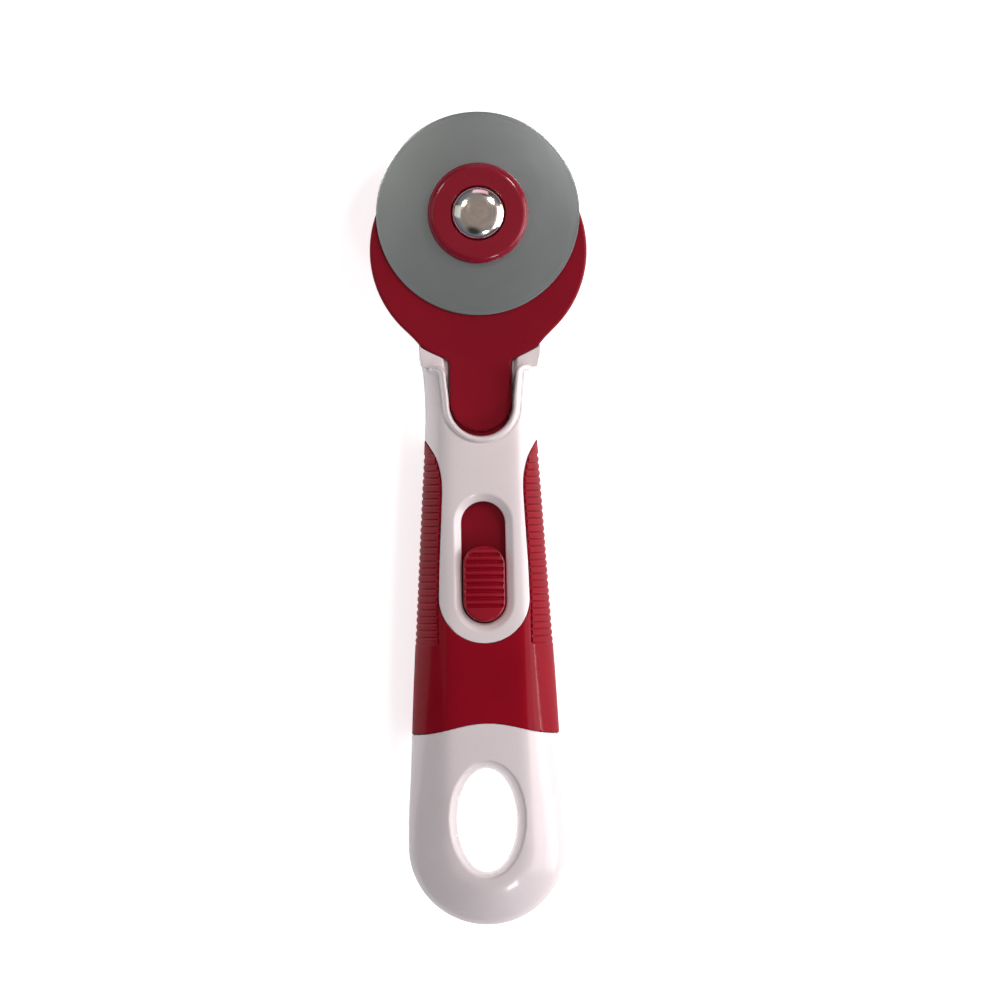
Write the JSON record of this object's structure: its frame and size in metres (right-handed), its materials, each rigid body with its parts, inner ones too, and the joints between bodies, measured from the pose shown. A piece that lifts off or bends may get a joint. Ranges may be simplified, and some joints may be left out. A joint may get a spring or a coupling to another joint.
{
  "type": "rotary cutter",
  "caption": "Hand-held rotary cutter for cloth: round steel blade, sliding crimson guard worked by a thumb button, two-tone handle with an oval hanging hole.",
  "frame": {"origin": "middle of the whole cutter's footprint, on the plane that its back lies on", "axes": "+Z out of the front face, +Y along the cutter towards the blade, +X to the right seen from the front"},
  "size_m": [0.048, 0.18, 0.0182],
  "materials": {
    "white_plastic": "gloss",
    "crimson_grip": "satin",
    "crimson_plastic": "satin",
    "crimson_gloss": "gloss",
    "blade_steel": "satin",
    "plain_steel": "satin",
    "chrome": "polished"
  },
  "bodies": {
    "handle": {"back_shell": "white_plastic", "front_shell": "white_plastic", "front_grip": "crimson_grip", "back_grip": "crimson_grip", "detent_spring": "plain_steel", "pivot_bolt": "chrome", "blade_cap": "crimson_gloss", "flat_washer": "plain_steel", "bow_washer": "plain_steel", "shell_screw_1": "plain_steel", "shell_screw_2": "plain_steel", "shell_screw_3": "plain_steel", "shell_screw_4": "plain_steel", "shell_screw_5": "plain_steel"},
    "guard": {"guard_plate": "crimson_plastic", "slider_link": "crimson_plastic", "link_pin": "plain_steel", "thumb_button": "crimson_gloss"},
    "blade": {"blade": "blade_steel"},
    "nut": {"lock_nut": "crimson_gloss", "nut_insert": "plain_steel"}
  },
  "joints": [
    {"name": "guard_slide", "type": "slide", "parent": "handle", "child": "guard", "axis": [0, 1, 0], "range_m": [0, 0.0082]},
    {"name": "blade_spin", "type": "hinge", "parent": "handle", "child": "blade", "pos_m": [0, 0.06745, 0.01247], "axis": [0, 0, 1], "continuous": true},
    {"name": "nut_turn", "type": "hinge", "parent": "handle", "child": "nut", "pos_m": [0, 0.06745, 0.0025], "axis": [0, 0, -1], "continuous": true}
  ]
}
